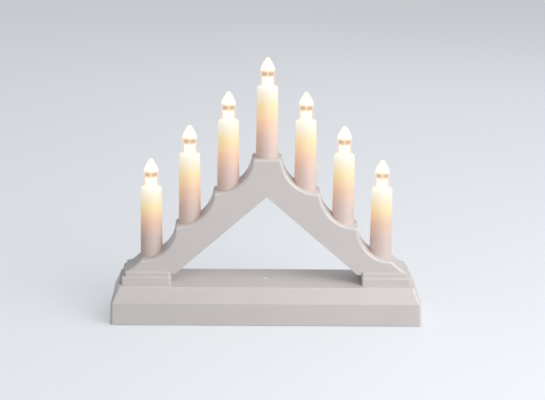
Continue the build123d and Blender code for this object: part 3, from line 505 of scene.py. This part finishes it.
class GlowSettings(bpy.types.PropertyGroup):
    tube_colour: bpy.props.FloatVectorProperty(
        name="Tube colour", description="Milky white of the tubes where the light doesn't reach",
        default=(0.66, 0.575, 0.545), size=3, min=0.0, max=1.0, subtype="COLOR")
    lamp_colour: bpy.props.FloatVectorProperty(
        name="Lamp colour", description="Warm white of the diodes",
        default=(1.0, 0.80, 0.52), size=3, min=0.0, max=1.0, subtype="COLOR")
    lamp_strength: bpy.props.FloatProperty(
        name="Lamp strength", description="How brightly the diodes' domes shine",
        default=3.0, min=0.0, max=100.0)


class DetailSettings(bpy.types.PropertyGroup):
    guide_radius: bpy.props.FloatProperty(
        name="Light guide radius", description="Radius of the clear pin in each flame cap, at its foot",
        default=0.0009, min=0.0, subtype="DISTANCE")
    ring_radius: bpy.props.FloatProperty(
        name="Ring radius", description="Outer radius of the raised ring beside the switch",
        default=0.0016, min=0.0, subtype="DISTANCE")
    sign_size: bpy.props.FloatProperty(
        name="Sign size", description="Length of the plus and the minus beside the battery door",
        default=0.0045, min=0.0, subtype="DISTANCE")
    rib_length: bpy.props.FloatProperty(
        name="Rib length", description="Length of the grip ribs on the battery door",
        default=0.014, min=0.0, subtype="DISTANCE")
    rib_height: bpy.props.FloatProperty(
        name="Rib height", description="How far the grip ribs stand out of the battery door",
        default=0.00045, min=0.0, subtype="DISTANCE")
    pin_radius: bpy.props.FloatProperty(
        name="Pin mark radius", description="Radius of the round mould marks on the underside",
        default=0.0022, min=0.0, subtype="DISTANCE")


class StageSettings(bpy.types.PropertyGroup):
    floor_colour: bpy.props.FloatVectorProperty(
        name="Floor colour", description="Pale tone of the floor",
        default=(0.44, 0.46, 0.49), size=3, min=0.0, max=1.0, subtype="COLOR")
    floor_glow: bpy.props.FloatVectorProperty(
        name="Floor paleness", description="Even tone that the floor adds in the camera's view",
        default=(0.40, 0.41, 0.42), size=3, min=0.0, max=1.0, subtype="COLOR")
    key_power: bpy.props.FloatProperty(
        name="Key light", description="Power of the large soft light in front, on the right",
        default=11.0, min=0.0, unit="POWER")
    fill_power: bpy.props.FloatProperty(
        name="Fill light", description="Power of the soft light in front, on the left",
        default=0.6, min=0.0, unit="POWER")
    edge_power: bpy.props.FloatProperty(
        name="Edge light", description="Power of the soft light on the right that draws the rounded edges",
        default=1.6, min=0.0, unit="POWER")
    back_power: bpy.props.FloatProperty(
        name="Back light", description="Power of the soft light behind, which keeps the rear cover readable",
        default=2.0, min=0.0, unit="POWER")


# Pieces


class CANDLEARCH_OT_shells(bpy.types.Operator):
    """Finish the arch, its rear cover and the plinth as satin white plastic"""
    bl_idname = "candle_arch.shells"
    bl_label = "White Shells"

    def execute(self, context):
        wear(satin_plastic(context, "plinth_shell", blush=GATE_BLUSH), "plinth_shell")
        for node in ("arch_shell", "arch_back_cover"):
            wear(satin_plastic(context, node), node)
        return {"FINISHED"}


class CANDLEARCH_OT_base(bpy.types.Operator):
    """Finish the base plate, the battery door, the feet, the switch and the plain parts inside"""
    bl_idname = "candle_arch.base"
    bl_label = "Base and Door"

    def execute(self, context):
        colour = tuple(owner(context).shells.base_colour)
        for node in ("base_plate", "battery_door"):
            wear(matt_plastic(context, node), node)
        wear(moulded_plastic("knob_plastic", shade(colour, KNOB_SHADE), roughness=0.45), "switch_knob")
        wear(moulded_plastic("inner_plastic", shade(colour, INNER_SHADE), roughness=0.5),
             "arch_clamp_left", "arch_clamp_right", *(f"led_holder_{number}" for number in CANDLES))
        wear(moulded_plastic("black_plastic", BLACK_PLASTIC, roughness=0.45), "switch_slider")
        wear(moulded_plastic("chip_plastic", CHIP_PLASTIC, roughness=0.55), "timer_chip")
        wear(moulded_plastic("foot_rubber", FOOT_RUBBER, roughness=0.8, grain=RUBBER_GRAIN,
                             grain_depth=RUBBER_DEPTH), "rubber_feet")
        return {"FINISHED"}


class CANDLEARCH_OT_metals(bpy.types.Operator):
    """Finish the screws, the pin, the contacts, the switch's can and the diodes' legs"""
    bl_idname = "candle_arch.metals"
    bl_label = "Metal Parts"

    def execute(self, context):
        wear(plated_steel("zinc_plate", ZINC),
             "arch_cover_screws", "clamp_screws", "base_screws", "board_screws", "door_pin")
        wear(plated_steel("nickel_plate", NICKEL, roughness=0.25), "bridge_contact", "positive_contact",
             "negative_contact", "led_leads", "timer_crystal", "switch_housing")
        return {"FINISHED"}


class CANDLEARCH_OT_power(bpy.types.Operator):
    """Finish the cells, the wires and the board"""
    bl_idname = "candle_arch.power"
    bl_label = "Power Parts"

    def execute(self, context):
        wear(self.cell("battery_1", 1, "cell_sleeve_1"), "battery_1")
        wear(self.cell("battery_2", -1, "cell_sleeve_2"), "battery_2")
        wear(moulded_plastic("wire_jacket", WIRE_JACKET, roughness=0.5),
             "arch_wiring_left", "arch_wiring_right", "battery_wires")
        wear(moulded_plastic("solder_resist", SOLDER_RESIST, roughness=0.35), "circuit_board")
        wear(self.resistor(), "resistors")
        return {"FINISHED"}

    def cell(self, node, side, name):
        """A plain sleeve with a pale band at one end, on the given side, and bare metal at both ends."""
        graph = Graph(name, IOR=1.5)
        x, y, z = graph.axes(graph.place(middle(node)))
        metal = 1.0 - ((y * y + z * z) ** 0.5).rise(*CELL_METAL_RADII)
        sleeve = graph.blend((x * side).rise(*CELL_BAND_EDGES), CELL_SLEEVE, CELL_BAND)
        graph.set(Base_Color=graph.blend(metal, sleeve, CELL_METAL), Metallic=metal.held(),
                  Roughness=graph.noise(graph.place(), CELL_SCUFFS).between(*CELL_ROUGHNESS))
        return graph.material

    def resistor(self):
        """Tan lacquer with plain colour bands."""
        graph = Graph("resistor_lacquer", Roughness=0.35)
        bands = graph.node("ShaderNodeTexWave", {"bands_direction": "Y"},
                           {"Vector": graph.place(middle("resistors")), "Scale": RESISTOR_BANDS})
        graph.set(Base_Color=graph.blend(bands.rise(*RESISTOR_BAND_EDGES), RESISTOR_TAN, RESISTOR_BAND))
        return graph.material


class CANDLEARCH_OT_tubes(bpy.types.Operator):
    """Finish the tubes as milky plastic with a glow painted below each diode"""
    bl_idname = "candle_arch.tubes"
    bl_label = "Candle Tubes"

    def execute(self, context):
        colour = tuple(owner(context).glow.tube_colour)
        for number in CANDLES:
            reach = LAMP_REACH[abs(number - MIDDLE_CANDLE)]
            node = f"candle_tube_{number}"
            wear(self.milky(f"milky_tube_{number}", node, colour, reach), node)
        return {"FINISHED"}

    def milky(self, name, node, colour, reach):
        """Milky walls that darken towards the top under a painted glow, peach at half height and nearly white
        below the flame.
        """
        low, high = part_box(node)
        graph = Graph(name, IOR=PLASTIC_IOR, Emission_Strength=1.0, Sheen_Weight=0.6, Sheen_Roughness=0.35,
                      Sheen_Tint=TUBE_SHEEN)
        foot_z = low.z + TUBE_SEAT
        above_foot = graph.axes(graph.place((0, 0, foot_z)))[2]
        cloud = graph.noise(graph.place(), TUBE_CLOUDS)
        height = above_foot / (high.z - foot_z) + GLOW_WAVER * (cloud - 0.5)
        # The base colour darkens towards the top, under a glow that is painted into the walls' emission
        cool_wall = [(0.0, colour), (COOL_WALL_TOP, shade(colour, COOL_WALL_TONE))]
        glow = [(share, shade(tone, 1 + follows * (reach - 1))) for share, tone, follows in TUBE_GLOW]
        graph.set(Base_Color=graph.ramp(height, cool_wall + WALLS_UNDER_GLOW),
                  Emission_Color=graph.ramp(height, glow), Roughness=cloud.between(*TUBE_ROUGHNESS))
        graph.bump(graph.noise(graph.place(), TUBE_GRAIN, detail=1.0), TUBE_GRAIN_BUMP, FINE_DEPTH)
        return graph.material


class CANDLEARCH_OT_flames(bpy.types.Operator):
    """Finish the clear flame caps, with a glow painted into them, and the lit diodes in them"""
    bl_idname = "candle_arch.flames"
    bl_label = "Flame Caps and Diodes"

    def execute(self, context):
        settings = owner(context).glow
        colour = tuple(settings.lamp_colour)
        lamp = Graph("lit_epoxy", Base_Color=colour, Emission_Color=colour,
                     Emission_Strength=settings.lamp_strength)
        lamp.set(Roughness=lamp.noise(lamp.place(), DIODE_SCUFFS).between(*DIODE_ROUGHNESS))
        for number in CANDLES:
            wear(lamp.material, f"led_{number}")
            wear(self.clear_flame_painted_glow(number), f"flame_cap_{number}")
        # The light guides' glow is painted emission
        glow = Graph("light_guide", Base_Color=GUIDE_COLOUR, Emission_Strength=1.0)
        glow.set(Emission_Color=glow.blend(glow.noise(glow.place(), GUIDE_CLOUDS), GUIDE_DIM, GUIDE_BRIGHT))
        first = self.guide(owner(context).details.guide_radius, glow.material)
        for number in CANDLES[1:]:
            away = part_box(f"candle_tube_{number}")[1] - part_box("candle_tube_1")[1]
            copy_piece(first, f"light_guide_{number}", away, "root")
        return {"FINISHED"}

    def clear_flame_painted_glow(self, number):
        """Painted glow in clear plastic: a white-hot hollow round the diode, a dim band above it and a lit
        solid point.
        """
        foot_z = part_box(f"candle_tube_{number}")[1].z
        graph = Graph(f"lit_flame_{number}", Roughness=0.06, IOR=PLASTIC_IOR, Emission_Strength=1.0)
        x, y, z = graph.axes(graph.place((middle(f"flame_cap_{number}").x, 0.0, foot_z)))
        radius = (x * x + y * y) ** 0.5
        hollow = (1.0 - radius.rise(*HOLLOW_RADII)) * (1.0 - z.rise(*HOLLOW_TOP))
        bright = z.rise(*BRIGHT_FOOT)
        lit = (1.0 - z.rise(*HOT_TOP) + bright).held()
        core = graph.blend(lit, CORE_DIM, CORE_LIT)
        hollow_alpha, wall_alpha = lit.between(*HOLLOW_ALPHA), bright.between(*WALL_ALPHA)
        graph.set(Base_Color=CAP_COLOUR,
                  Emission_Color=graph.blend(hollow, graph.ramp(bright, CAP_WALL_GLOW), core),
                  Alpha=(hollow * hollow_alpha + (1.0 - hollow) * wall_alpha).held())
        return graph.material

    def guide(self, radius, material):
        """The clear pin moulded inside a cap, with a painted glow that leads the light up into its point."""
        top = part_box("candle_tube_1")[1].z
        length = GUIDE_TIP - GUIDE_FOOT
        piece = begin("light_guide_1", bpy.ops.mesh.primitive_circle_add, vertices=16, radius=radius,
                      fill_type="NGON", location=(middle("candle_tube_1").x, 0.0, top + GUIDE_FOOT))
        pick(piece)
        for share, widening in ((1 / 4, GUIDE_WAIST / radius), (1 / 2, 1.0), (1 / 4, GUIDE_WIDENING)):
            extrude_up(share * length)
            bpy.ops.transform.resize(value=(widening, widening, 1.0))
        bpy.ops.mesh.select_all(action="SELECT")
        bpy.ops.mesh.remove_doubles(threshold=MERGE_REACH)
        bpy.ops.mesh.normals_make_consistent(inside=False)
        bpy.ops.object.mode_set(mode="OBJECT")
        apply_modifier(piece, "BEVEL", width=GUIDE_EDGE, segments=2, limit_method="ANGLE")
        apply_modifier(piece, "SUBSURF", levels=1, render_levels=1)
        settle(piece, "root", material)
        return piece


class CANDLEARCH_OT_marks(bpy.types.Operator):
    """Mould the raised ring and bar beside the switch and the plus and minus beside the battery door"""
    bl_idname = "candle_arch.marks"
    bl_label = "Raised Marks"

    def execute(self, context):
        details = owner(context).details
        satin, matt = satin_plastic(context, "marks"), matt_plastic(context, "marks")
        knob = middle("switch_knob")
        slot_x = knob.x + SWITCH_TRAVEL / 2
        wall_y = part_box("switch_knob")[1].y + MARK_OUT
        self.ring("off_ring", (slot_x + MARK_REACH, wall_y, knob.z), details.ring_radius, satin)
        self.bar("on_bar", (slot_x - MARK_REACH, wall_y, knob.z), satin)
        door_x, beside_y = middle("battery_door").x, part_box("battery_door")[1].y + SIGN_REACH
        plate_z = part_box("base_plate")[0].z
        self.sign("plus_mark", (door_x, beside_y, plate_z), details.sign_size, True, matt)
        self.sign("minus_mark", (door_x, -beside_y, plate_z), details.sign_size, False, matt)
        return {"FINISHED"}

    def ring(self, name, centre, radius, material):
        """A flat ring on the rear wall."""
        piece = begin(name, bpy.ops.mesh.primitive_circle_add, vertices=40, radius=radius, fill_type="NGON",
                      location=centre, rotation=FACE_BACK)
        pick(piece)
        hollow_out(RING_LINE)
        raise_mark(piece, MARK_HEIGHT, MARK_EDGE)
        settle(piece, "root", material)

    def bar(self, name, centre, material):
        """An upright bar on the rear wall."""
        piece = begin(name, bpy.ops.mesh.primitive_plane_add, size=BAR_LENGTH, location=centre,
                      rotation=FACE_BACK)
        pick(piece)
        bpy.ops.transform.resize(value=(BAR_SLIMNESS, 1.0, 1.0))
        raise_mark(piece, MARK_HEIGHT, MARK_EDGE)
        settle(piece, "root", material)

    def sign(self, name, centre, size, crossed, material):
        """A plus, cut from a grid of nine squares, or a minus, its middle row."""
        piece = begin(name, bpy.ops.mesh.primitive_grid_add, x_subdivisions=3, y_subdivisions=3, size=size,
                      location=centre, rotation=FACE_DOWN)
        half_square = size / 6

        def cut_away(square):
            off_row, off_column = abs(square.y) > half_square, abs(square.x) > half_square
            return off_row and (off_column or not crossed)

        pick(piece, cut_away)
        bpy.ops.mesh.delete(type="FACE")
        raise_mark(piece, SIGN_HEIGHT, MARK_EDGE)
        settle(piece, "root", material)


class CANDLEARCH_OT_door_grip(bpy.types.Operator):
    """Mould the grip ribs and the arrow on the battery door"""
    bl_idname = "candle_arch.door_grip"
    bl_label = "Door Grip"

    def execute(self, context):
        details = owner(context).details
        material = matt_plastic(context, "grip")
        low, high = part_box("battery_door")
        self.ribs((high.x - RIB_SETBACK, 0.0, low.z), details.rib_length, details.rib_height, material)
        self.arrow((high.x - ARROW_SETBACK, 0.0, low.z), material)
        return {"FINISHED"}

    def ribs(self, centre, length, height, material):
        """Round-topped ribs across the door, one drawn and the others repeated."""
        piece = begin("grip_ribs", bpy.ops.mesh.primitive_plane_add, size=length, location=centre,
                      rotation=FACE_DOWN)
        pick(piece)
        bpy.ops.transform.resize(value=(RIB_SLIMNESS, 1.0, 1.0))
        for _ in range(RIBS - 1):
            bpy.ops.mesh.duplicate_move(TRANSFORM_OT_translate={"value": (-RIB_PITCH, 0.0, 0.0)})
        raise_mark(piece, height, RIB_EDGE)
        settle(piece, "battery_door", material)

    def arrow(self, centre, material):
        """A flat triangle with a hollow middle that points to the latch."""
        piece = begin("latch_arrow", bpy.ops.mesh.primitive_circle_add, vertices=3, radius=ARROW_RADIUS,
                      fill_type="NGON", location=centre, rotation=(math.pi, 0.0, -math.pi / 2))
        pick(piece)
        hollow_out(ARROW_LINE)
        raise_mark(piece, ARROW_HEIGHT, ARROW_EDGE)
        settle(piece, "battery_door", material)


class CANDLEARCH_OT_ejector_marks(bpy.types.Operator):
    """Mould the round marks that the mould's pins leave on the underside"""
    bl_idname = "candle_arch.ejector_marks"
    bl_label = "Pin Marks"

    def execute(self, context):
        plate_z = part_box("base_plate")[0].z
        places = [Vector((x, y, plate_z)) for x, y in PIN_PLACES]
        piece = begin("pin_mark_1", bpy.ops.mesh.primitive_circle_add, vertices=36,
                      radius=owner(context).details.pin_radius, fill_type="NGON", location=places[0],
                      rotation=FACE_DOWN)
        pick(piece)
        bpy.ops.mesh.inset(thickness=PIN_RIM)
        bpy.ops.transform.translate(value=(0.0, 0.0, PIN_DISH))
        raise_mark(piece, PIN_HEIGHT, PIN_EDGE)
        settle(piece, "root", matt_plastic(context, "pin_marks"))
        for number, place in enumerate(places[1:], 2):
            copy_piece(piece, f"pin_mark_{number}", place - places[0], "root")
        return {"FINISHED"}


class CANDLEARCH_OT_stage(bpy.types.Operator):
    """Lay the pale floor, hang the soft lights and stand the camera where the photograph was taken"""
    bl_idname = "candle_arch.stage"
    bl_label = "Studio"

    def execute(self, context):
        settings = owner(context).stage
        self.floor(tuple(settings.floor_colour), tuple(settings.floor_glow))
        self.air(context)
        for name, place in LIGHTS.items():
            self.soft_light(f"{name}_light", getattr(settings, f"{name}_power"), *place)
        self.camera(context)
        context.scene.view_settings.view_transform = "Standard"
        return {"FINISHED"}

    def floor(self, colour, glow):
        """A wide flat floor that fills the camera's view and is paler there than it lights the arch."""
        floor = begin("studio_sweep", bpy.ops.mesh.primitive_plane_add, size=1.0)
        for vertex in floor.data.vertices:
            vertex.co.x *= FLOOR_WIDTH
            vertex.co.y = FLOOR_FRONT if vertex.co.y < 0 else FLOOR_BACK
        bpy.ops.object.shade_smooth()
        graph = Graph("studio_paper", Roughness=0.8, Emission_Strength=1.0)
        tone = graph.noise(graph.place(), FLOOR_CLOUDS).rise(*FLOOR_CLOUD_EDGES)
        seen, glossy, through = graph.node("ShaderNodeLightPath", output=(
            "Is Camera Ray", "Is Glossy Ray", "Is Transmission Ray"))
        graph.set(Base_Color=graph.blend(tone, shade(colour, FLOOR_DARK_TONE), colour),
                  Emission_Color=graph.blend((seen + glossy + through).held(), BLACK, glow))
        floor.data.materials.append(graph.material)

    def air(self, context):
        """Even light all round, and a pale view where the camera looks past the floor."""
        graph = Graph("studio_air", "worlds", "Background")
        seen = graph.node("ShaderNodeLightPath", output="Is Camera Ray")
        graph.set(Color=graph.blend(seen, AIR_TONE, VIEW_TONE))
        context.scene.world = graph.material

    def soft_light(self, name, power, azimuth, elevation, distance, size, colour):
        """A square area light aimed at the arch's middle."""
        turn, tilt = math.radians(azimuth), math.radians(elevation)
        away = Vector((math.sin(turn) * math.cos(tilt), -math.cos(turn) * math.cos(tilt), math.sin(tilt)))
        light = bpy.data.lights.new(name, "AREA")
        light.shape = "RECTANGLE"
        light.size = light.size_y = size
        light.energy = power
        light.color = colour
        lamp = bpy.data.objects.new(name, light)
        bpy.context.scene.collection.objects.link(lamp)
        lamp.location = (cad_box[0] + cad_box[1]) / 2 + away * distance
        lamp.rotation_mode = "QUATERNION"
        lamp.rotation_quaternion = away.to_track_quat("Z", "Y")

    def camera(self, context):
        """The photograph's camera, turned by its yaw, pitch and roll."""
        lens = bpy.data.cameras.new("photo_camera")
        lens.sensor_fit = "HORIZONTAL"
        lens.sensor_width = SENSOR_WIDTH_MM
        lens.lens = FOCAL_PX / PHOTO_WIDTH_PX * SENSOR_WIDTH_MM
        camera = bpy.data.objects.new("photo_camera", lens)
        context.scene.collection.objects.link(camera)
        forward = Vector((math.sin(CAMERA_YAW) * math.cos(CAMERA_PITCH),
                          math.cos(CAMERA_YAW) * math.cos(CAMERA_PITCH), -math.sin(CAMERA_PITCH)))
        level = Vector((math.cos(CAMERA_YAW), -math.sin(CAMERA_YAW), 0.0))
        upright = level.cross(forward)
        right = level * math.cos(CAMERA_ROLL) + upright * math.sin(CAMERA_ROLL)
        up = upright * math.cos(CAMERA_ROLL) - level * math.sin(CAMERA_ROLL)
        turn = Matrix((right, up, -forward)).transposed().to_4x4()
        camera.matrix_world = Matrix.Translation(CAMERA_PLACE) @ turn
        context.scene.camera = camera


class CandleArchSettings(bpy.types.PropertyGroup):
    shells: bpy.props.PointerProperty(
        name="Shells", description="White plastic shells", type=ShellSettings)
    glow: bpy.props.PointerProperty(
        name="Glow", description="Lit tubes and flames", type=GlowSettings)
    details: bpy.props.PointerProperty(
        name="Details", description="Sizes of moulded details", type=DetailSettings)
    stage: bpy.props.PointerProperty(
        name="Stage", description="Floor and lights", type=StageSettings)


SETTING_GROUPS = ("shells", "glow", "details", "stage")
STEPS = (CANDLEARCH_OT_stage, CANDLEARCH_OT_shells, CANDLEARCH_OT_base, CANDLEARCH_OT_metals,
         CANDLEARCH_OT_power, CANDLEARCH_OT_tubes, CANDLEARCH_OT_flames, CANDLEARCH_OT_marks,
         CANDLEARCH_OT_door_grip, CANDLEARCH_OT_ejector_marks)


class CANDLEARCH_PT_panel(bpy.types.Panel):
    """The steps that dress the candle arch, in order"""
    bl_idname = "CANDLEARCH_PT_panel"
    bl_label = "Candle Arch"
    bl_space_type = "VIEW_3D"
    bl_region_type = "UI"
    bl_category = "Candle Arch"

    def draw(self, context):
        for group in SETTING_GROUPS:
            settings = getattr(owner(context), group)
            for name in settings.bl_rna.properties.keys():
                if name not in ("rna_type", "name"):
                    self.layout.prop(settings, name)
        for step in STEPS:
            self.layout.operator(step.bl_idname)


CLASSES = (ShellSettings, GlowSettings, DetailSettings, StageSettings, CandleArchSettings, *STEPS,
           CANDLEARCH_PT_panel)


def register():
    for kind in CLASSES:
        bpy.utils.register_class(kind)
    bpy.types.Scene.candle_arch = bpy.props.PointerProperty(type=CandleArchSettings)


def unregister():
    del bpy.types.Scene.candle_arch
    for kind in reversed(CLASSES):
        bpy.utils.unregister_class(kind)


def main():
    register()
    for step in STEPS:
        group, name = step.bl_idname.split(".")
        getattr(getattr(bpy.ops, group), name)()


if __name__ == "__main__":
    main()
